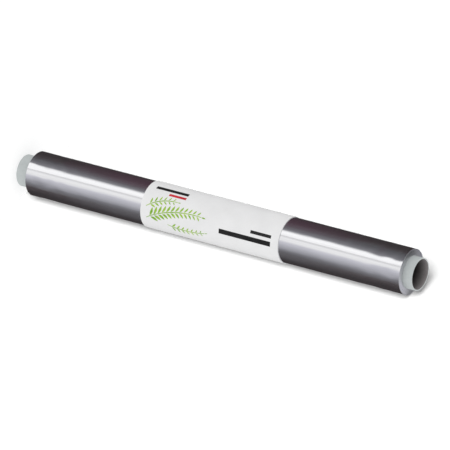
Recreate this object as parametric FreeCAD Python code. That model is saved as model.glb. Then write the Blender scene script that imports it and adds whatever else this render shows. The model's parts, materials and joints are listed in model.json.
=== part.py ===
"""Catering roll of aluminium foil: a card core, the wound foil and a printed paper label.

Units are millimetres. The roll stands on the lower end of its core, its axis on +Z and its origin at the
centre of the lower rim. The print on the label faces -Y. It reads from the lower end to the upper end, with
-X above it.
"""

import FreeCAD, Part
import math
import os

# Core: a plain card tube that stands out at both ends of the foil.
core_outer_d = 33.0
core_wall = 1.2
core_out_below = 16.0
core_out_above = 10.5
core_edge_break = 0.25

# Foil: one long strip wound on the core. Its free edge is a small step that runs the length of the roll, and
# on both ends the edges of its turns show as a fine spiral.
foil_width = 440.0
foil_outer_d = 46.8
foil_edge_step = 0.12
foil_edge_angle = 264.0
turn_pitch = 0.95
turn_groove_width = 0.3
turn_groove_depth = 0.3
turn_margin = 0.5

# Label: a sheet of stout paper round the middle of the roll, lapped and glued to itself at the back.
label_width = 162.0
label_above_middle = 1.0
label_paper = 0.5
label_lap = 14.0
label_lap_ramp = 3.0
label_lap_angle = 90.0

# Print: fronds that grow from the label's lower edge, and plain bars. Places are (along, across): along runs
# up from an edge of the label, and across runs round the label from the middle of its front, towards -X.
ink = 0.05
stem_width = 1.0
stem_end = 0.3
leaf_slimness = 3.3
leaf_spacing = 5.2
leaf_gap = 0.35
leaf_spread = 48.0
fronds = {
    "long": {"foot": (7.0, -15.5), "tip": (71.0, -1.0), "bow": 5.0, "leaf": 9.5},
    "upper": {"foot": (6.0, -3.5), "tip": (40.0, 7.5), "bow": 3.0, "leaf": 6.5},
    "lower": {"foot": (32.0, -18.0), "tip": (76.0, -17.0), "bow": -2.5, "leaf": 6.0},
}
bar_margin = 9.0
long_bar = {"length": 60.0, "height": 5.0, "across": -9.5}
short_bar = {"length": 24.0, "height": 3.2, "across": -2.0}
corner_bar = {"length": 38.0, "height": 3.6, "across": 19.0}
red_bar = {"length": 20.0, "height": 2.6, "across": 13.5}

# Radii and places that follow from the sizes above.
core_outer_r = core_outer_d / 2
core_inner_r = core_outer_r - core_wall
core_length = core_out_below + foil_width + core_out_above
foil_outer_r = foil_outer_d / 2
foil_bottom = core_out_below
foil_top = foil_bottom + foil_width
label_outer_r = foil_outer_r + label_paper
label_bottom = (foil_bottom + foil_top - label_width) / 2 + label_above_middle


def around(radius, degrees, height=0.0):
    """The point at a radius, at an angle from +X and at a height."""
    turn = math.radians(degrees)
    return FreeCAD.Vector(radius * math.cos(turn), radius * math.sin(turn), height)


def arc(radius, start, end, height, centre=FreeCAD.Vector()):
    """An arc from one angle to a larger one, round the axis or round a centre beside it."""
    points = [centre + around(radius, degrees, height) for degrees in (start, (start + end) / 2, end)]
    return Part.Arc(*points).toShape()


def line(start, end):
    """A straight edge."""
    return Part.LineSegment(start, end).toShape()


def cylinder(radius, height, bottom):
    """A cylinder on the axis."""
    return Part.makeCylinder(radius, height, FreeCAD.Vector(0, 0, bottom))


def raised(edges, height):
    """The solid above a flat outline, whose edges are given in order."""
    return Part.Face(Part.Wire(edges)).extrude(FreeCAD.Vector(0, 0, height))


def core_tube():
    """The core, turned from its half section, with its four rims broken as a cut tube's are."""
    b = core_edge_break
    section = [
        (core_inner_r + b, 0),
        (core_outer_r - b, 0),
        (core_outer_r, b),
        (core_outer_r, core_length - b),
        (core_outer_r - b, core_length),
        (core_inner_r + b, core_length),
        (core_inner_r, core_length - b),
        (core_inner_r, b),
    ]
    corners = [FreeCAD.Vector(r, 0, z) for r, z in section + section[:1]]
    return Part.Face(Part.makePolygon(corners)).revolve(FreeCAD.Vector(), FreeCAD.Vector(0, 0, 1), 360)


def spiral(radius, growth, half_turns, height):
    """Half circles that wind outwards by growth in each turn, from the angle of the free edge."""
    edges = []
    for k in range(half_turns):
        start = foil_edge_angle + 180 * k
        middle = radius + growth * (k + 0.5) / 2
        edges.append(arc(middle, start, start + 180, height, around(growth / 4, start + 180)))
    return edges


def joined(first, second):
    """A straight edge between the loose ends of two spirals, both given as (edge, which end)."""
    return line(*[edge.Vertexes[end].Point for edge, end in (first, second)])


def turn_groove(bottom):
    """The spiral groove between the turns on one end of the roll, as a solid to cut away."""
    start = core_outer_r + turn_margin
    room = foil_outer_r - foil_edge_step - turn_margin - turn_groove_width - start
    half_turns = math.floor(2 * room / turn_pitch)
    inner = spiral(start, turn_pitch, half_turns, bottom)
    outer = spiral(start + turn_groove_width, turn_pitch, half_turns, bottom)
    last = joined((inner[-1], -1), (outer[-1], -1))
    first = joined((outer[0], 0), (inner[0], 0))
    return raised([*inner, last, *reversed(outer), first], turn_groove_depth)


def foil_roll():
    """The wound foil: its last turn ends in a step, and its turns show on both ends."""
    last_turn = spiral(foil_outer_r - foil_edge_step, foil_edge_step, 2, foil_bottom)
    free_edge = joined((last_turn[1], -1), (last_turn[0], 0))
    roll = raised([*last_turn, free_edge], foil_width)
    hole = cylinder(core_outer_r, foil_width, foil_bottom)
    return roll.cut([hole, turn_groove(foil_bottom), turn_groove(foil_top - turn_groove_depth)])


def label_band():
    """The label: a ring of paper, doubled at the lap, where the outer end rides up over the hidden one."""
    single = label_outer_r
    double = label_outer_r + label_paper
    half_lap = math.degrees(label_lap / 2 / label_outer_r)
    end = label_lap_angle - half_lap
    ramp_top = label_lap_angle + half_lap
    ramp_foot = ramp_top + math.degrees(label_lap_ramp / label_outer_r)
    z = label_bottom
    outline = [
        line(around(single, end, z), around(double, end, z)),
        arc(double, end, ramp_top, z),
        line(around(double, ramp_top, z), around(single, ramp_foot, z)),
        arc(single, ramp_foot, end + 360, z),
    ]
    return raised(outline, label_width).cut(cylinder(foil_outer_r, label_width, z))


def on_front(along, across):
    """A place on the print, in the flat plane before the label from which the print is pressed straight back."""
    turn = across / label_outer_r
    return FreeCAD.Vector(-label_outer_r * math.sin(turn), -2 * label_outer_r, label_bottom + along)


def beside(start, end, share, offset):
    """The point a share of the way from start to end, moved offset to the left of that way."""
    dx = end[0] - start[0]
    dy = end[1] - start[1]
    size = math.hypot(dx, dy)
    return (start[0] + dx * share - dy / size * offset, start[1] + dy * share + dx / size * offset)


def side(foot, tip, bow):
    """An arc from foot to tip that bows to the left of the way between them."""
    points = [on_front(*p) for p in (foot, beside(foot, tip, 0.5, bow), tip)]
    return Part.Arc(*points).toShape()


def blade(foot, tip, bow, width):
    """A leaf: two arcs that meet in a point at both ends."""
    return Part.Face(Part.Wire([side(foot, tip, bow + width / 2), side(foot, tip, bow - width / 2)]))


def stem(foot, tip, bow):
    """A bowed stem with blunt ends, thickest in the middle."""
    left = side(beside(foot, tip, 0, stem_end), beside(foot, tip, 1, stem_end), bow + stem_width / 2 - stem_end)
    right = side(beside(foot, tip, 0, -stem_end), beside(foot, tip, 1, -stem_end), bow - stem_width / 2 + stem_end)
    ends = [line(left.Vertexes[k].Point, right.Vertexes[k].Point) for k in (0, 1)]
    return Part.Face(Part.Wire([left, ends[1], right, ends[0]]))


def frond(foot, tip, bow, leaf):
    """A bowed stem with pairs of leaves, which grow shorter towards the tip, and one leaf at the tip."""
    length = math.dist(foot, tip)
    pairs = round(length / leaf_spacing)
    shapes = [stem(foot, tip, bow)]
    for k in range(1, pairs + 1):
        share = k / pairs
        node = beside(foot, tip, share, 4 * bow * share * (1 - share))
        ahead = math.atan2(tip[1] - foot[1], tip[0] - foot[0]) + math.atan(4 * bow * (1 - 2 * share) / length)
        size = leaf * (1 - share / 2)
        for turned in (1, -1) if k < pairs else (0,):
            away = ahead + turned * math.pi / 2
            clear = leaf_gap + abs(turned) * stem_width / 2
            heading = ahead + turned * math.radians(leaf_spread)
            start = (node[0] + clear * math.cos(away), node[1] + clear * math.sin(away))
            end = (start[0] + size * math.cos(heading), start[1] + size * math.sin(heading))
            shapes.append(blade(start, end, -turned * size / 12, size / leaf_slimness))
    return shapes


def bar(start, length, height, across):
    """A plain bar along the label, from a place above its lower edge."""
    low = across - height / 2
    high = across + height / 2
    corners = [(start, low), (start + length, low), (start + length, high), (start, high), (start, low)]
    return Part.Face(Part.makePolygon([on_front(*corner) for corner in corners]))


def printed(faces):
    """Thin ink on the label's paper in the shape of the faces."""
    sleeve = cylinder(label_outer_r + ink, label_width, label_bottom)
    sleeve = sleeve.cut(cylinder(label_outer_r, label_width, label_bottom))
    back = FreeCAD.Vector(0, 2 * label_outer_r, 0)
    return Part.makeCompound([sleeve.common(face.extrude(back)).Solids[0] for face in faces])


def print_green():
    """The fronds."""
    return printed([shape for sizes in fronds.values() for shape in frond(**sizes)])


def print_dark():
    """Two bars that end together near the upper edge, and one that starts near the lower edge."""
    bars = [bar(label_width - bar_margin - b["length"], **b) for b in (long_bar, short_bar)]
    return printed([*bars, bar(bar_margin, **corner_bar)])


def print_red():
    """A short bar that ends level with the dark one above it."""
    return printed([bar(bar_margin + corner_bar["length"] - red_bar["length"], **red_bar)])


def main():
    os.makedirs("parts", exist_ok=True)
    pieces = {
        "core_tube": core_tube(),
        "foil_roll": foil_roll(),
        "label_band": label_band(),
        "label_print_green": print_green(),
        "label_print_dark": print_dark(),
        "label_print_red": print_red(),
    }
    for name, shape in pieces.items():
        shape.exportStep(f"parts/{name}.step")
        print(name, round(shape.Volume, 2), len(shape.Solids), shape.isValid())


main()
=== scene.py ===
# %% [markdown]
# A catering roll of aluminium foil, dressed on its CAD frame. The frame brings the pieces at their real size
# and place, in metres: the card core, the wound foil, the paper label and the label's print. This file makes
# the finer shapes and the finishes, a studio and the camera. The roll stands on its core, with its axis on Z.

# %% The frame and its sizes
import json
import math
import bpy
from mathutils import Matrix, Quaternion, Vector, noise


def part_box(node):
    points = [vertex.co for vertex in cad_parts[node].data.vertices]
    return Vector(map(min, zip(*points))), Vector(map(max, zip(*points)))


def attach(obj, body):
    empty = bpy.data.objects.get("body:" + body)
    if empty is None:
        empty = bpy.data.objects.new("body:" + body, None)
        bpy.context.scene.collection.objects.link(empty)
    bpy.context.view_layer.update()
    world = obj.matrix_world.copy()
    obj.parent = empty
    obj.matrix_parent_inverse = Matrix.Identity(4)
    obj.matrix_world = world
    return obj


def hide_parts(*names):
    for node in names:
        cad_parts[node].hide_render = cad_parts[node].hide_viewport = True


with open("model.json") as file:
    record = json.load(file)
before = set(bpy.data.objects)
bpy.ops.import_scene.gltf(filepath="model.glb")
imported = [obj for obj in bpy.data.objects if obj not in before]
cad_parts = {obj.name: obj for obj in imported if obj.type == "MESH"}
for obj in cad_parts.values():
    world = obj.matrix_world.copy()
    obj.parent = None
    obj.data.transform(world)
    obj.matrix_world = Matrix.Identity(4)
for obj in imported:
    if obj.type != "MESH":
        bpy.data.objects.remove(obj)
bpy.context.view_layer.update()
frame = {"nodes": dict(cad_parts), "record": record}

MM = 0.001
NEAR = 0.01 * MM

core_low, core_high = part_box("core_tube")
foil_low, foil_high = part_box("foil_roll")
label_low, label_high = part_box("label_band")
PAPER = 0.5 * MM
core_radius = core_high.x
label_radius = -label_low.y
foil_radius = label_radius - PAPER
bore = next(m for m in frame["record"]["mounts"] if m["name"] == "spindle_bore")
bore_radius = bore["dims"]["r_mm"] * MM
roll_middle = (foil_low.z + foil_high.z) / 2
radii = (core_radius, foil_radius, label_radius)
print("core, foil and label radii in mm:", [round(r / MM, 2) for r in radii])


# %% [markdown]
# An operator acts on whatever is selected, and the frame's nodes arrive selected. These helpers start from
# nothing selected, and pick vertices or edges of a piece by where they are.

# %% Helpers for modelling
def nothing_selected():
    """Nothing is selected, and no piece is active."""
    for o in bpy.context.selected_objects:
        o.select_set(False)
    bpy.context.view_layer.objects.active = None


def open_tube(name, radius, low, high, columns):
    """A new tube wall without ends, as the active piece."""
    nothing_selected()
    bpy.ops.mesh.primitive_cylinder_add(
        vertices=columns, radius=radius, depth=high - low, end_fill_type="NOTHING",
        location=(0, 0, (low + high) / 2))
    piece = bpy.context.active_object
    piece.name = piece.data.name = name
    bpy.ops.object.transform_apply(location=True, rotation=True, scale=True)
    return piece


def choose(piece, kind, wanted):
    """Enters edit mode with just the vertices or edges for which wanted is true."""
    bpy.ops.object.mode_set(mode="EDIT")
    bpy.ops.mesh.select_mode(type=kind)
    bpy.ops.mesh.select_all(action="DESELECT")
    bpy.ops.object.mode_set(mode="OBJECT")
    parts = {"VERT": piece.data.vertices, "EDGE": piece.data.edges}[kind]
    for part in parts:
        part.select = bool(wanted(part))
    bpy.ops.object.mode_set(mode="EDIT")


def edge_ends(piece, edge):
    """The two ends of an edge."""
    return [piece.data.vertices[i].co for i in edge.vertices]


def add_rows(piece, cuts):
    """Cuts the wall of a tube across its length."""
    choose(piece, "EDGE", lambda e: abs(edge_ends(piece, e)[0].z - edge_ends(piece, e)[1].z) > MM)
    bpy.ops.mesh.subdivide(number_cuts=cuts)
    bpy.ops.object.mode_set(mode="OBJECT")


def apply_modifier(piece, kind, **settings):
    """Adds a modifier, sets it up and applies it."""
    m = piece.modifiers.new(kind.lower(), kind)
    for key, value in settings.items():
        setattr(m, key, value)
    bpy.context.view_layer.objects.active = piece
    bpy.ops.object.modifier_apply(modifier=m.name)


def polar(place):
    """The radius and the angle from +X, in degrees from 0 to 360, of a place."""
    return math.hypot(place.x, place.y), math.degrees(math.atan2(place.y, place.x)) % 360


def at(radius, degrees, height):
    """The place at a radius, an angle from +X and a height."""
    turn = math.radians(degrees)
    return Vector((radius * math.cos(turn), radius * math.sin(turn), height))


def smooth(piece, degrees=30):
    """Smooth shading that keeps edges sharper than the angle."""
    nothing_selected()
    piece.select_set(True)
    bpy.context.view_layer.objects.active = piece
    bpy.ops.object.shade_smooth_by_angle(angle=math.radians(degrees))


# %% [markdown]
# The core is a tube of grey board. A thick-walled tube could be two cylinders and a boolean, but a thin wall
# with Solidify keeps clean quads, and a small bevel then softens the four cut rims, which board never has
# sharp.

# %% The core
CORE_COLUMNS = 160
CORE_CUTS = 11
CORE_ROUNDING = 0.3 * MM

core = open_tube("core", core_radius, core_low.z, core_high.z, CORE_COLUMNS)
add_rows(core, CORE_CUTS)
apply_modifier(core, "SOLIDIFY", thickness=core_radius - bore_radius, offset=-1)
apply_modifier(core, "BEVEL", width=CORE_ROUNDING, segments=3, limit_method="ANGLE",
               angle_limit=math.radians(60))
smooth(core, 40)
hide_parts("core_tube")
print("core faces:", len(core.data.polygons))


# %% [markdown]
# The foil is one long strip, so its outside isn't a true cylinder: the radius grows by a little over the
# last turn and drops at the free edge. Pulled foil also has shallow ripples that run along the roll, stronger
# at its ends. A tube's columns are moved round to leave one narrow gap at the free edge, and each vertex then
# gets its radius from its angle and from a smooth noise. A displacement texture couldn't make the sharp step.

# %% The outside of the foil
FOIL_COLUMNS = 288
FOIL_CUTS = 110
FIRST_COLUMN = 90.0
EDGE_ANGLE = 264.0
EDGE_STEP = 0.12 * MM
EDGE_LIFT = 0.03 * MM
LIFT_REACH = 4.0
STEP_WIDTH = 0.15
RIPPLE = 0.04 * MM
RIPPLE_LENGTH = 90 * MM
RIPPLES_ROUND = 5.5
END_RIPPLE = 0.06 * MM
END_RIPPLE_LENGTH = 16 * MM
END_RIPPLES_ROUND = 4.0
END_REACH = 30 * MM
RIPPLE_FADE = 20.0
OTHER_PART = (7, 3)


def ripple(degrees, height):
    """How far the foil lies below its smooth form: long ripples, and short ones near the ends."""
    turn = math.radians(degrees)
    round_trip = Vector((math.cos(turn), math.sin(turn), 0))
    long_ones = noise.noise(round_trip * RIPPLES_ROUND + Vector((0, 0, height / RIPPLE_LENGTH)))
    short_place = Vector((*OTHER_PART, height / END_RIPPLE_LENGTH))
    short_ones = noise.noise(round_trip * END_RIPPLES_ROUND + short_place)
    from_end = min(height - foil_low.z, foil_high.z - height)
    near_end = math.exp(-from_end / END_REACH)
    return RIPPLE * (1 + long_ones) / 2 + END_RIPPLE * near_end * (1 + short_ones) / 2


foil = open_tube("foil", foil_radius, foil_low.z, foil_high.z, FOIL_COLUMNS)
add_rows(foil, FOIL_CUTS)
whole_turn = 360 - STEP_WIDTH
for v in foil.data.vertices:
    column = round((polar(v.co)[1] - FIRST_COLUMN) % 360 / 360 * FOIL_COLUMNS) % FOIL_COLUMNS
    past_edge = whole_turn * column / (FOIL_COLUMNS - 1)
    lift = EDGE_LIFT * math.exp(-(whole_turn - past_edge) / LIFT_REACH)
    radius = foil_radius - EDGE_LIFT - EDGE_STEP * (1 - past_edge / whole_turn) + lift
    fade = min(1, past_edge / RIPPLE_FADE, (whole_turn - past_edge) / RIPPLE_FADE)
    radius -= ripple(EDGE_ANGLE + past_edge, v.co.z) * fade
    v.co = at(radius, EDGE_ANGLE + past_edge, v.co.z)
print("foil outside faces:", len(foil.data.polygons))


# %% [markdown]
# On the ends, the edges of the turns show as fine rings that don't lie quite level, because a strip never
# winds perfectly straight. Each ring is drawn in from the last by an extrude and a resize, as a lathe hand
# would cut it: a narrow groove, then a crest as wide as a bundle of turns. Each crest slopes outwards a
# little, because the outer turns of a bundle are pulled down by handling.

# %% The ends of the foil
TURN_PITCH = 0.95 * MM
TURN_GROOVE = 0.3 * MM
GROOVE_DEPTH = 0.3 * MM
TURN_MARGIN = 0.5 * MM
CREST_SLOPE = 0.2 * MM
CREST_DROP = 0.08 * MM
INNER_DROP = 0.1 * MM
CREST_TO_CREST = 1.7
END_TO_END = 40


def draw_in(piece, state, radius, height):
    """Extrudes the selected rim and shrinks it to a radius at a height."""
    bpy.ops.mesh.extrude_region_move(TRANSFORM_OT_translate={"value": (0, 0, height - state["height"])})
    k = radius / state["radius"]
    bpy.ops.transform.resize(value=(k, k, 1), center_override=(0, 0, height))
    state.update(radius=radius, height=height)


def close_end(piece, end, inward):
    """Fills one end of the foil with rings, from its outside to the core."""
    choose(piece, "VERT", lambda v: abs(v.co.z - end) < NEAR)
    bpy.ops.mesh.select_mode(type="EDGE")
    state = {"radius": foil_radius, "height": end}
    turns = int((foil_radius - core_radius - 2 * TURN_MARGIN) / TURN_PITCH)
    draw_in(piece, state, foil_radius - TURN_MARGIN, end)
    for k in range(turns):
        uneven = noise.noise(Vector((k * CREST_TO_CREST, end * END_TO_END, 0)))
        crest = end + inward * CREST_DROP * (1 + uneven)
        groove = foil_radius - TURN_MARGIN - k * TURN_PITCH
        draw_in(piece, state, groove, end + inward * GROOVE_DEPTH)
        draw_in(piece, state, groove - TURN_GROOVE, end + inward * GROOVE_DEPTH)
        draw_in(piece, state, groove - TURN_GROOVE, crest + inward * CREST_SLOPE)
        draw_in(piece, state, groove - TURN_PITCH, crest)
    draw_in(piece, state, core_radius, end + inward * INNER_DROP)
    bpy.ops.object.mode_set(mode="OBJECT")


close_end(foil, foil_low.z, 1)
close_end(foil, foil_high.z, -1)
for v in foil.data.vertices:
    if polar(v.co)[0] < core_radius + TURN_MARGIN / 2:
        v.co = at(core_radius, polar(v.co)[1], v.co.z)
choose(foil, "VERT", lambda v: polar(v.co)[0] < core_radius + TURN_MARGIN / 2)
bpy.ops.mesh.select_mode(type="EDGE")
bpy.ops.mesh.bridge_edge_loops()
bpy.ops.mesh.select_all(action="SELECT")
bpy.ops.mesh.normals_make_consistent(inside=False)
bpy.ops.object.mode_set(mode="OBJECT")
smooth(foil)
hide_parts("foil_roll")
print("foil faces:", len(foil.data.polygons))


# %% [markdown]
# The label is one sheet of paper wrapped round the roll, with its ends lapped and glued at the back. It
# starts as a flat grid. Each vertex is then wrapped: its share of the sheet's length gives its angle, and
# where the sheet has come round to its hidden end, it climbs over that end. Solidify gives the paper its
# thickness, less a hair, so that it doesn't share a surface with the foil.

# %% The label
LAP = 14 * MM
LAP_RAMP = 3 * MM
LAP_ANGLE = 90.0
PAPER_WAVE = 0.03 * MM
WAVE_LENGTH = 35 * MM
WAVES_ROUND = 1.6
PAPER_GAP = 0.02 * MM
SHEET_COLUMNS = 300
SHEET_ROWS = 56

label_height = label_high.z - label_low.z
lap_turn = math.degrees(LAP / label_radius)
ramp_turn = math.degrees(LAP_RAMP / label_radius)
nothing_selected()
bpy.ops.mesh.primitive_grid_add(x_subdivisions=SHEET_COLUMNS, y_subdivisions=SHEET_ROWS, size=1)
label = bpy.context.active_object
label.name = label.data.name = "label"
sheet_turn = 360 + lap_turn
for v in label.data.vertices:
    unrolled = (0.5 - v.co.x) * sheet_turn
    degrees = LAP_ANGLE + lap_turn / 2 - unrolled
    height = label_low.z + (v.co.y + 0.5) * label_height
    climb = PAPER * min(1, max(0, (unrolled - 360) / ramp_turn + 1))
    wave = PAPER_WAVE * (1 + noise.noise(at(WAVES_ROUND, degrees, height / WAVE_LENGTH))) / 2
    v.co = at(label_radius - wave + climb, degrees, height)
apply_modifier(label, "SOLIDIFY", thickness=PAPER - PAPER_GAP, offset=-1)
smooth(label, 40)
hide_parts("label_band")
print("label faces:", len(label.data.polygons))


# %% [markdown]
# Every finish is built of nodes on Object coordinates, so that a pattern keeps its real size and stays put
# on its piece in any view. The helpers add a node and wire it up in one line, and build the patterns that
# several finishes share.

# %% Helpers for materials
def finish(name):
    """A new material with its node tree and its main shader."""
    material = bpy.data.materials.new(name)
    material.use_nodes = True
    return material, material.node_tree, material.node_tree.nodes["Principled BSDF"]


def node(tree, kind, inputs=None, **settings):
    """A node with its settings, its inputs given as values or as other nodes' outputs."""
    made = tree.nodes.new("ShaderNode" + kind)
    for key, value in settings.items():
        setattr(made, key, value)
    for key, value in (inputs or {}).items():
        if isinstance(value, bpy.types.NodeSocket):
            tree.links.new(value, made.inputs[key])
        else:
            made.inputs[key].default_value = value
    return made


def object_place(tree, scale=(1, 1, 1)):
    """Object coordinates, stretched by a scale, in millimetres."""
    place = node(tree, "TexCoord").outputs["Object"]
    size = [k / MM for k in scale]
    return node(tree, "Mapping", {"Vector": place, "Scale": size}).outputs["Vector"]


def math_node(tree, operation, *values):
    """The result of a sum on values or outputs."""
    return node(tree, "Math", dict(enumerate(values)), operation=operation).outputs[0]


def between(tree, share, low, high):
    """A colour between two by a share from 0 to 1. Each is a fixed colour or another node's output."""
    ends = [c if isinstance(c, bpy.types.NodeSocket) else (*c, 1) for c in (low, high)]
    return node(tree, "Mix", {"Factor": share, 6: ends[0], 7: ends[1]}, data_type="RGBA").outputs[2]


def spread(tree, value, low, high, new_low=0.0, new_high=1.0):
    """A value brought from one span to another, and kept inside it."""
    spans = {"Value": value, "From Min": low, "From Max": high, "To Min": new_low, "To Max": new_high}
    return node(tree, "MapRange", spans).outputs["Result"]


def noise_of(tree, vector, scale, detail=2.0):
    """A smooth noise from 0 to 1."""
    return node(tree, "TexNoise", {"Vector": vector, "Scale": scale, "Detail": detail}).outputs["Fac"]


def blend(tree, first, second, share):
    """Two values mixed, with a fixed share of the second."""
    return math_node(tree, "ADD", math_node(tree, "MULTIPLY", first, 1 - share),
                     math_node(tree, "MULTIPLY", second, share))


def around_axis(tree):
    """The angle round the axis in radians, and the radius and the height in millimetres."""
    x, y, z = node(tree, "SeparateXYZ", {"Vector": object_place(tree)}).outputs
    radius = math_node(tree, "SQRT", math_node(tree, "ADD", math_node(tree, "MULTIPLY", x, x),
                                               math_node(tree, "MULTIPLY", y, y)))
    return math_node(tree, "ARCTAN2", y, x), radius, z


def from_nearer_end(tree, height, low, high):
    """The distance in millimetres from a height to the nearer end of a piece, whose ends are in metres."""
    return math_node(tree, "MINIMUM", math_node(tree, "SUBTRACT", height, low / MM),
                     math_node(tree, "SUBTRACT", high / MM, height))


def line_of_shade(tree, angle, middle, near, far, depth):
    """The share of shade in a line along the roll, full within near and none past far, in degrees."""
    away = math_node(tree, "ABSOLUTE", math_node(tree, "SUBTRACT", angle, math.radians(middle)))
    return spread(tree, away, math.radians(near), math.radians(far), depth, 0.0)


def add_bumps(tree, shader, *reliefs):
    """Bumps one over another, each given as a relief, a strength and a distance in millimetres."""
    normal = None
    for relief, strength, distance in reliefs:
        bump = node(tree, "Bump", {"Height": relief, "Strength": strength, "Distance": distance * MM})
        if normal:
            tree.links.new(normal, bump.inputs["Normal"])
        normal = bump.outputs["Normal"]
    tree.links.new(normal, shader.inputs["Normal"])


# %% [markdown]
# Aluminium foil is bright metal, whose look is nearly all reflection. Rolling leaves very fine lines across
# the roll, which soften reflections along it, and winding leaves faint streaks along it. Near the ends, where
# the roll is handled, shallow dents bend the reflections. The free edge gathers a thin line of shade. Colour,
# roughness and bump come from noises that are stretched one way or the other.

# %% The foil's bright side
FOIL_DEEP = (0.86, 0.86, 0.885)
FOIL_LIGHT = (0.94, 0.94, 0.955)
FOIL_SHADE = (0.72, 0.72, 0.74)
EDGE_SHADE_MIDDLE = EDGE_ANGLE + 1.2 - 360
EDGE_SHADE_REACH = 3.4
DENTS_FULL = 10.0
DENTS_FADED = 80.0
DENTS_IN_MIDDLE = 0.15


def bright_foil():
    """Bright metal with streaks, fine lines, creases, slow waves and dents near the ends."""
    material, tree, shader = finish("foil bright")
    angle, _, height = around_axis(tree)
    streaks = noise_of(tree, object_place(tree, (0.9, 0.9, 0.006)), 1.0, 3.0)
    edge_shade = line_of_shade(tree, angle, EDGE_SHADE_MIDDLE, 0.0, EDGE_SHADE_REACH, 1.0)
    plain = between(tree, streaks, FOIL_DEEP, FOIL_LIGHT)
    tree.links.new(between(tree, edge_shade, plain, FOIL_SHADE), shader.inputs["Base Color"])
    shader.inputs["Metallic"].default_value = 1.0
    tree.links.new(spread(tree, streaks, 0.2, 0.8, 0.10, 0.16), shader.inputs["Roughness"])
    lines = noise_of(tree, object_place(tree, (0.02, 0.02, 4.0)), 1.0, 2.0)
    creases = noise_of(tree, object_place(tree, (0.35, 0.35, 0.012)), 1.0, 2.0)
    waves = noise_of(tree, object_place(tree, (0.05, 0.05, 0.014)), 1.0, 1.0)
    from_end = from_nearer_end(tree, height, foil_low.z, foil_high.z)
    near_end = spread(tree, from_end, DENTS_FULL, DENTS_FADED, 1.0, DENTS_IN_MIDDLE)
    dents = noise_of(tree, object_place(tree, (0.07, 0.07, 0.05)), 1.0, 1.0)
    dents = math_node(tree, "MULTIPLY", dents, near_end)
    add_bumps(tree, shader, (lines, 0.05, 0.02), (creases, 0.3, 0.09), (waves, 0.6, 0.8), (dents, 1.0, 0.9))
    return material


# %% [markdown]
# The cut edges of hundreds of turns scatter light, so the ends of the roll are duller and greyer than its
# outside, with fine rings that follow the turns.

# %% The foil's cut edges
CUT_DEEP = (0.50, 0.50, 0.52)
CUT_LIGHT = (0.84, 0.84, 0.86)
PAST_STEP = 2.5


def foil_edges():
    """Duller metal in fine rings that wind outwards with the turns."""
    material, tree, shader = finish("foil edges")
    angle, radius, _ = around_axis(tree)
    wound = math_node(tree, "ADD", radius, math_node(tree, "MULTIPLY", angle, TURN_PITCH / MM / math.tau))
    rings = node(tree, "TexNoise", {"W": wound, "Scale": 4.5, "Detail": 3.0}, noise_dimensions="1D")
    rings = rings.outputs["Fac"]
    tree.links.new(between(tree, rings, CUT_DEEP, CUT_LIGHT), shader.inputs["Base Color"])
    shader.inputs["Metallic"].default_value = 1.0
    tree.links.new(spread(tree, rings, 0.2, 0.8, 0.26, 0.38), shader.inputs["Roughness"])
    add_bumps(tree, shader, (rings, 0.4, 0.1))
    return material


foil.data.materials.append(bright_foil())
foil.data.materials.append(foil_edges())
for face in foil.data.polygons:
    if polar(face.center)[0] < foil_radius - EDGE_STEP * PAST_STEP:
        face.material_index = 1
print("foil faces on the ends:", sum(face.material_index for face in foil.data.polygons))


# %% [markdown]
# The core is wound from strips of grey board, so a fine joint runs round it as a helix, and the board has
# short fibres. Inside it is bare and darker. Painted shade darkens the inside towards near black away from
# the two rims, where the bore is deepest.

# %% The core's board
PLY_PITCH = 62.0
JOINT_WIDTH = 0.008
JOINT_DARK = 0.35
BORE_SHADE = (0.004, 0.0035, 0.0035)
BORE_SHADE_REACH = 17.0
LIT_DEEP_INSIDE = 0.03
INSIDE_MARGIN = 0.02 * MM


def board(name, dark, light, joint_depth, painted_shade=0.0):
    """Board with fibres and a joint, and with painted shade that deepens away from both ends."""
    material, tree, shader = finish(name)
    angle, _, height = around_axis(tree)
    fibres = noise_of(tree, object_place(tree, (1.0, 1.0, 0.35)), 1.6, 4.0)
    clouds = noise_of(tree, object_place(tree), 0.12, 2.0)
    plain = between(tree, spread(tree, blend(tree, fibres, clouds, 0.4), 0.3, 0.7), dark, light)
    winding = math_node(tree, "ADD", math_node(tree, "DIVIDE", height, PLY_PITCH),
                        math_node(tree, "DIVIDE", angle, math.tau))
    past_joint = math_node(tree, "SUBTRACT", math_node(tree, "FRACT", winding), 0.5)
    joint = spread(tree, math_node(tree, "ABSOLUTE", past_joint), 0.0, JOINT_WIDTH, 1.0, 0.0)
    joint_shade = math_node(tree, "MULTIPLY", joint, joint_depth)
    shaded = between(tree, joint_shade, plain, [c * JOINT_DARK for c in dark])
    # Painted shade: away from both rims the inside board turns towards near black, standing in for the shade
    # deep in the bore.
    from_end = from_nearer_end(tree, height, core_low.z, core_high.z)
    unshaded = math_node(tree, "POWER", spread(tree, from_end, 0.0, BORE_SHADE_REACH, 1.0, LIT_DEEP_INSIDE), 1.5)
    bore_shading = math_node(tree, "MULTIPLY", math_node(tree, "SUBTRACT", 1.0, unshaded), painted_shade)
    tree.links.new(between(tree, bore_shading, shaded, BORE_SHADE), shader.inputs["Base Color"])
    tree.links.new(spread(tree, fibres, 0.2, 0.8, 0.7, 0.92), shader.inputs["Roughness"])
    shader.inputs["Specular IOR Level"].default_value = 0.25
    relief = math_node(tree, "SUBTRACT", fibres, math_node(tree, "MULTIPLY", joint, 1.5))
    add_bumps(tree, shader, (relief, 0.35, 0.06))
    return material


core.data.materials.append(board("board outside", (0.47, 0.505, 0.505), (0.56, 0.595, 0.595), 0.35))
# The inside board gets the painted shade of the bore.
core.data.materials.append(board("board inside", (0.28, 0.26, 0.26), (0.38, 0.36, 0.36), 0.3, painted_shade=1.0))
for face in core.data.polygons:
    inside = polar(face.center)[0] < bore_radius + INSIDE_MARGIN
    face.material_index = int(inside)
print("core faces inside:", sum(face.material_index for face in core.data.polygons))


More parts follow.
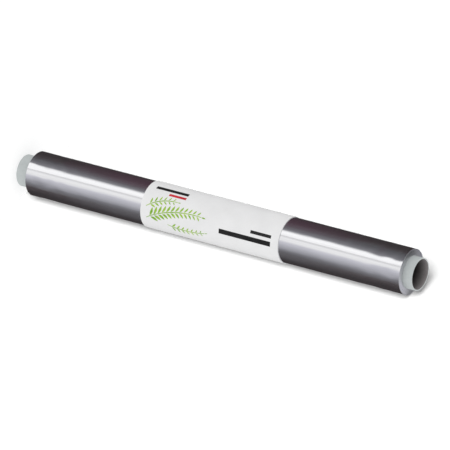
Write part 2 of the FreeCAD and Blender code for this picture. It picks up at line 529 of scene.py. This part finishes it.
# %% [markdown]
# The label is smooth white paper with a slight gloss. Its fibres hardly show, but they keep the white from
# looking like plastic. A thin line of shade lies along the free edge at the back, where the sheet ends.

# %% The label's paper
PAPER_DEEP = (0.80, 0.80, 0.805)
PAPER_LIGHT = (0.86, 0.86, 0.865)
PAPER_SHADE = (0.42, 0.42, 0.41)
FREE_EDGE = LAP_ANGLE - lap_turn / 2 - 1.0
FREE_EDGE_NEAR = 0.4
FREE_EDGE_FAR = 1.8


def paper():
    """White paper with faint fibres and clouds, and a line of shade at the free edge."""
    material, tree, shader = finish("label paper")
    angle, _, _ = around_axis(tree)
    edge_shade = line_of_shade(tree, angle, FREE_EDGE, FREE_EDGE_NEAR, FREE_EDGE_FAR, 0.45)
    fibres = noise_of(tree, object_place(tree), 1.2, 5.0)
    clouds = noise_of(tree, object_place(tree), 0.05, 2.0)
    mixed = blend(tree, fibres, clouds, 0.65)
    plain = between(tree, spread(tree, mixed, 0.3, 0.7), PAPER_DEEP, PAPER_LIGHT)
    tree.links.new(between(tree, edge_shade, plain, PAPER_SHADE), shader.inputs["Base Color"])
    tree.links.new(spread(tree, fibres, 0.2, 0.8, 0.42, 0.55), shader.inputs["Roughness"])
    shader.inputs["Specular IOR Level"].default_value = 0.35
    add_bumps(tree, shader, (fibres, 0.12, 0.03))
    return material


label.data.materials.append(paper())


# %% [markdown]
# The print is three inks. Each CAD field keeps its shape and only gets a finish: ink lies a little unevenly
# on paper, and the green is mixed, so that its leaves turn from deep to light.

# %% The inks
def ink(name, deep, light, patch, gloss):
    """Ink that turns from deep to light in patches of a size in millimetres."""
    material, tree, shader = finish(name)
    wide = noise_of(tree, object_place(tree), 1 / patch, 2.0)
    fine = noise_of(tree, object_place(tree), 2.5, 2.0)
    mixed = blend(tree, wide, fine, 0.2)
    tree.links.new(between(tree, spread(tree, mixed, 0.35, 0.65), deep, light), shader.inputs["Base Color"])
    tree.links.new(spread(tree, fine, 0.2, 0.8, gloss, gloss + 0.12), shader.inputs["Roughness"])
    shader.inputs["Specular IOR Level"].default_value = 0.35
    return material


inks = {
    "label_print_green": ink("green ink", (0.20, 0.42, 0.02), (0.42, 0.62, 0.08), 6.0, 0.42),
    "label_print_dark": ink("dark ink", (0.004, 0.004, 0.004), (0.014, 0.014, 0.014), 9.0, 0.40),
    "label_print_red": ink("red ink", (0.52, 0.008, 0.02), (0.66, 0.02, 0.035), 9.0, 0.40),
}
for name, material in inks.items():
    printed = frame["nodes"][name]
    printed.data.materials.clear()
    printed.data.materials.append(material)
print("inks:", sorted(inks))


# %% [markdown]
# Nothing on the roll moves, so every new piece rides on the one body, root. Each also names the slot of the
# record that its finish belongs to.

# %% What the pieces ride on
for piece, slot in ((core, "card"), (foil, "foil"), (label, "label_paper")):
    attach(piece, "root")


# %% [markdown]
# The picture shows the roll lying on a white ground, but the model stands on its core, as the real one can.
# So the roll has two grounds: the floor under it, and a backdrop that takes the place of the ground of the
# picture. The backdrop is a narrow plane that the side of the roll nearly touches. It stands at 45 degrees to
# the front, so that a view along it sees only its edge, and it shows from its front only, so that it hides
# nothing in a view from behind. Both grounds are white to the camera, with part of their light from the sky
# or from a lamp, so that they keep the roll's shadow.

# %% The floor and the backdrop
def white_ground(name, own_light, lit, one_sided):
    """A material that is white where it is lit and darker in a shadow."""
    material, tree, _ = finish(name)
    tree.nodes.clear()
    glow = node(tree, "Emission", {"Color": (1, 1, 1, 1), "Strength": own_light})
    matte = node(tree, "BsdfDiffuse", {"Color": (lit, lit, lit, 1)})
    shown = node(tree, "AddShader", {0: glow.outputs[0], 1: matte.outputs[0]}).outputs[0]
    if one_sided:
        facing = node(tree, "NewGeometry").outputs["Backfacing"]
        clear = node(tree, "BsdfTransparent").outputs[0]
        shown = node(tree, "MixShader", {0: facing, 1: shown, 2: clear}).outputs[0]
    tree.links.new(shown, node(tree, "OutputMaterial").inputs["Surface"])
    return material


def plane(name, size, location, rotation, material):
    """A stage plane that only the camera sees, so that it neither lights the roll nor shades it."""
    nothing_selected()
    bpy.ops.mesh.primitive_plane_add(size=1, location=location, rotation=rotation)
    made = bpy.context.active_object
    made.name = name
    made.scale = (*size, 1)
    made.data.materials.append(material)
    made.visible_diffuse = made.visible_glossy = made.visible_transmission = made.visible_shadow = False
    return made


FLOOR_SIZE = (12, 12)
BACKDROP_SIZE = (0.64, 0.2)
GROUND_SIDE = 45.0
GROUND_GAP = 0.1 * MM

floor_white = white_ground("floor white", own_light=0.52, lit=0.6, one_sided=False)
plane("floor", FLOOR_SIZE, (0, 0, 0), (0, 0, 0), floor_white)
touch = at(label_radius + GROUND_GAP, GROUND_SIDE, roll_middle)
facing_roll = (0, -math.pi / 2, math.radians(GROUND_SIDE))
ground_white = white_ground("ground white", own_light=0.215, lit=0.1, one_sided=True)
backdrop = plane("backdrop", BACKDROP_SIZE, touch, facing_roll, ground_white)
print("the backdrop stands at:", [round(c / MM, 1) for c in touch])


# %% [markdown]
# A lamp of its own gives the backdrop the roll's shadow. It is large, so the shadow is soft. It stands almost
# in front of the roll, a little to the left and lower than the camera, so the shadow shows as a narrow strip
# below the roll in the picture and round its right end. It lights the backdrop alone, through a light link,
# and leaves the roll as it is.

# %% The lamp of the backdrop
LAMP_SIDE = 12.7
LAMP_HEIGHT = 11.9
LAMP_DISTANCE = 4.0
LAMP_SIZE = (2.17, 2.6)
LAMP_POWER = 1830

middle = Vector((0, 0, roll_middle))
toward_lamp = Vector((-math.sin(math.radians(LAMP_SIDE)), -math.cos(math.radians(LAMP_SIDE)),
                      math.tan(math.radians(LAMP_HEIGHT)))).normalized()
nothing_selected()
bpy.ops.object.light_add(type="AREA", location=middle + toward_lamp * LAMP_DISTANCE)
lamp = bpy.context.active_object
lamp.name = "lamp of the backdrop"
lamp.rotation_euler = (-toward_lamp).to_track_quat("-Z", "Y").to_euler()
lamp.data.shape = "RECTANGLE"
lamp.data.size, lamp.data.size_y = LAMP_SIZE
lamp.data.energy = LAMP_POWER
lamp.visible_glossy = False
linked = bpy.data.collections.new("lit by the lamp")
linked.objects.link(backdrop)
lamp.light_linking.receiver_collection = linked
print("the lamp stands at:", [round(c, 2) for c in lamp.location])


# %% [markdown]
# Foil shows the room, so the room is part of its look. The sky has three parts. To the camera it is white.
# To matt surfaces it is a soft light, a little weaker from one side. To a reflection it is a studio wall that
# runs round the roll: a white screen in front, greys beside it and near black behind, which gives the roll
# its bright and dark bands, and a narrow screen at the very back, which keeps the roll bright from behind.
# Above and below that band of the wall, the screens repeat all round, so that the foil is lively from every
# side.

# %% The studio
def wall(tree, share, stops):
    """Colours round the studio, each a grey and a tint at a turn in degrees from the front."""
    ramp = node(tree, "ValToRGB", {"Fac": share})
    elements = ramp.color_ramp.elements
    while len(elements) > 1:
        elements.remove(elements[-1])
    for k, (degrees, grey, tint) in enumerate(stops):
        element = elements[0] if k == 0 else elements.new((degrees + 180) / 360)
        element.position = (degrees + 180) / 360
        element.color = (*[grey * c for c in tint], 1)
    return ramp.outputs["Color"]


def share_round(tree, x, y):
    """The turn from the front, positive towards -X, as a share from 0 to 1 that starts at the back."""
    left = math_node(tree, "MULTIPLY", x, -1.0)
    front = math_node(tree, "MULTIPLY", y, -1.0)
    return spread(tree, math_node(tree, "ARCTAN2", left, front), -math.pi, math.pi)


PLAIN = (1.0, 1.0, 1.0)
COOL = (0.985, 0.985, 1.07)
WARM = (1.12, 0.94, 1.0)
LOW_WALL = [
    (-180, 0.620, PLAIN), (-169, 0.620, PLAIN), (-158, 0.036, WARM), (-112, 0.032, WARM), (-84, 0.061, WARM),
    (-60, 0.195, COOL), (-36, 0.455, COOL), (-19, 0.600, COOL), (-9, 0.850, PLAIN), (6, 0.890, PLAIN),
    (16, 0.900, PLAIN), (24, 1.050, PLAIN), (34.5, 1.050, PLAIN), (43.5, 0.220, COOL), (60, 0.130, COOL),
    (76, 0.085, COOL), (95, 0.046, WARM), (118, 0.031, WARM), (158, 0.036, WARM), (169, 0.620, PLAIN),
    (180, 0.620, PLAIN),
]
HIGH_WALL = [
    (-180, 0.42, PLAIN), (-160, 0.50, PLAIN), (-132, 0.26, COOL), (-112, 0.22, COOL), (-100, 0.95, PLAIN),
    (-80, 0.95, PLAIN), (-66, 0.34, COOL), (-46, 0.16, COOL), (-24, 0.50, COOL), (-10, 0.92, PLAIN),
    (12, 1.00, PLAIN), (24, 0.34, COOL), (46, 0.14, COOL), (68, 0.28, COOL), (80, 0.92, PLAIN),
    (100, 0.96, PLAIN), (114, 0.30, COOL), (138, 0.10, COOL), (162, 0.18, COOL), (180, 0.42, PLAIN),
]
SKY_LIGHT = 0.99
SKY_SHADE = 0.17
SHADE_SIDE = (-0.9, 0.43)
SHADE_START = 0.1
TOP_LIGHT = 0.36
TOP_DIM = 0.15
TOP_BRIGHT = 2.0
TOP_SPAN = 0.25
LOW_WALL_FOOT = (-0.66, -0.60)
LOW_WALL_HEAD = (-0.36, -0.27)
CEILING = (0.25, 0.5)

world = bpy.data.worlds.new("studio")
bpy.context.scene.world = world
world.use_nodes = True
sky = world.node_tree
sky.nodes.clear()
toward = node(sky, "TexCoord").outputs["Generated"]
x, y, z = node(sky, "SeparateXYZ", {"Vector": toward}).outputs
share = share_round(sky, x, y)
low_wall = wall(sky, share, LOW_WALL)
high_wall = wall(sky, share, HIGH_WALL)
beyond = math_node(sky, "MAXIMUM", spread(sky, z, *LOW_WALL_HEAD), spread(sky, z, *LOW_WALL_FOOT, 1.0, 0.0))
walls = between(sky, beyond, low_wall, high_wall)
dim, bright = [[c * TOP_LIGHT * k for c in COOL] for k in (TOP_DIM, TOP_BRIGHT)]
top = between(sky, spread(sky, x, -TOP_SPAN, TOP_SPAN), dim, bright)
room = between(sky, spread(sky, z, *CEILING), walls, top)
ray = node(sky, "LightPath").outputs
toward_shade = math_node(sky, "ADD", math_node(sky, "MULTIPLY", x, SHADE_SIDE[0]),
                         math_node(sky, "MULTIPLY", y, SHADE_SIDE[1]))
shaded_side = spread(sky, toward_shade, SHADE_START, 1.0, SKY_LIGHT, SKY_LIGHT - SKY_SHADE)
soft = node(sky, "Background", {"Color": (1, 1, 1, 1), "Strength": shaded_side})
mirrored = node(sky, "Background", {"Color": room, "Strength": 1.0})
white = node(sky, "Background", {"Color": (1, 1, 1, 1), "Strength": 1.0})
lit = node(sky, "MixShader", {0: ray["Is Glossy Ray"], 1: soft.outputs[0], 2: mirrored.outputs[0]})
seen = node(sky, "MixShader", {0: ray["Is Camera Ray"], 1: lit.outputs[0], 2: white.outputs[0]})
sky.links.new(seen.outputs[0], node(sky, "OutputWorld").inputs["Surface"])
print("sky light on matt surfaces:", SKY_LIGHT)


# %% [markdown]
# A cloth hangs in the studio nearer to the roll: plum on one side and grey on the other. Only reflections see
# it. Because it is near, it shows round the middle of the roll and fades towards the ends, which a far wall
# can't do.

# %% The cloth that the foil reflects
CLOTH_RADIUS = 0.5
CLOTH_LOW = -0.5
CLOTH_HIGH = 0.35
CLOTH_COLUMNS = 96
CLOTH_MIDDLE = -0.049
CLOTH_FADE = (0.115, 0.205)
PLUM = (1.30, 0.72, 1.0)
CLOTH_SHARE = [
    (-180, 0.0, PLAIN), (-125, 0.0, PLAIN), (-85, 0.60, PLAIN), (-50, 0.0, PLAIN), (45, 0.0, PLAIN),
    (72, 0.65, PLAIN), (97, 0.95, PLAIN), (122, 0.75, PLAIN), (155, 0.0, PLAIN), (180, 0.0, PLAIN),
]
CLOTH_COLOUR = [
    (-180, 0.120, COOL), (0, 0.120, COOL), (60, 0.085, PLUM), (97, 0.050, PLUM), (180, 0.045, PLUM),
]


def cloth_finish():
    """Cloth with a faint light of its own, clear where none hangs."""
    material, tree, _ = finish("cloth")
    tree.nodes.clear()
    x, y, z = node(tree, "SeparateXYZ", {"Vector": node(tree, "TexCoord").outputs["Object"]}).outputs
    share = share_round(tree, x, y)
    from_middle = math_node(tree, "ABSOLUTE", math_node(tree, "SUBTRACT", z, CLOTH_MIDDLE))
    faded = spread(tree, from_middle, *CLOTH_FADE, 1.0, 0.0)
    held = math_node(tree, "MULTIPLY", wall(tree, share, CLOTH_SHARE), faded)
    glow = node(tree, "Emission", {"Color": wall(tree, share, CLOTH_COLOUR), "Strength": 1.0})
    clear = node(tree, "BsdfTransparent")
    shown = node(tree, "MixShader", {0: held, 1: clear.outputs[0], 2: glow.outputs[0]})
    tree.links.new(shown.outputs[0], node(tree, "OutputMaterial").inputs["Surface"])
    return material


cloth = open_tube("cloth", CLOTH_RADIUS, CLOTH_LOW, CLOTH_HIGH, CLOTH_COLUMNS)
cloth.data.materials.append(cloth_finish())
cloth.visible_camera = cloth.visible_diffuse = cloth.visible_transmission = cloth.visible_shadow = False
print("the cloth hangs from", CLOTH_HIGH, "to", CLOTH_LOW)


# %% [markdown]
# The camera stands far off with a long lens, so the roll's sides stay nearly parallel. It looks down on the
# standing roll and is rolled well over, which lays the roll down in the picture with its upper end to the
# right.

# %% The camera
CAMERA_LENS = 400
CAMERA_SENSOR = 36
CAMERA_REACH = 50
CAMERA_DISTANCE = 4.956
CAMERA_HEIGHT = 29.69
CAMERA_ROLL = 104.81
CAMERA_AIM = Vector((2.06 * MM, 0, 241.73 * MM))

nothing_selected()
down = math.radians(CAMERA_HEIGHT)
back = Vector((0, -math.cos(down), math.sin(down)))
bpy.ops.object.camera_add(location=CAMERA_AIM + back * CAMERA_DISTANCE)
camera = bpy.context.active_object
camera.name = "camera"
camera.data.lens = CAMERA_LENS
camera.data.sensor_width = CAMERA_SENSOR
camera.data.clip_end = CAMERA_REACH
upright = (-back).to_track_quat("-Z", "Y")
camera.rotation_mode = "QUATERNION"
camera.rotation_quaternion = upright @ Quaternion((0, 0, 1), math.radians(CAMERA_ROLL))
bpy.context.scene.camera = camera
bpy.context.scene.view_settings.view_transform = "Standard"
print("camera at:", [round(c, 3) for c in camera.location])


# %% The finish
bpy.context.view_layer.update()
nothing_selected()
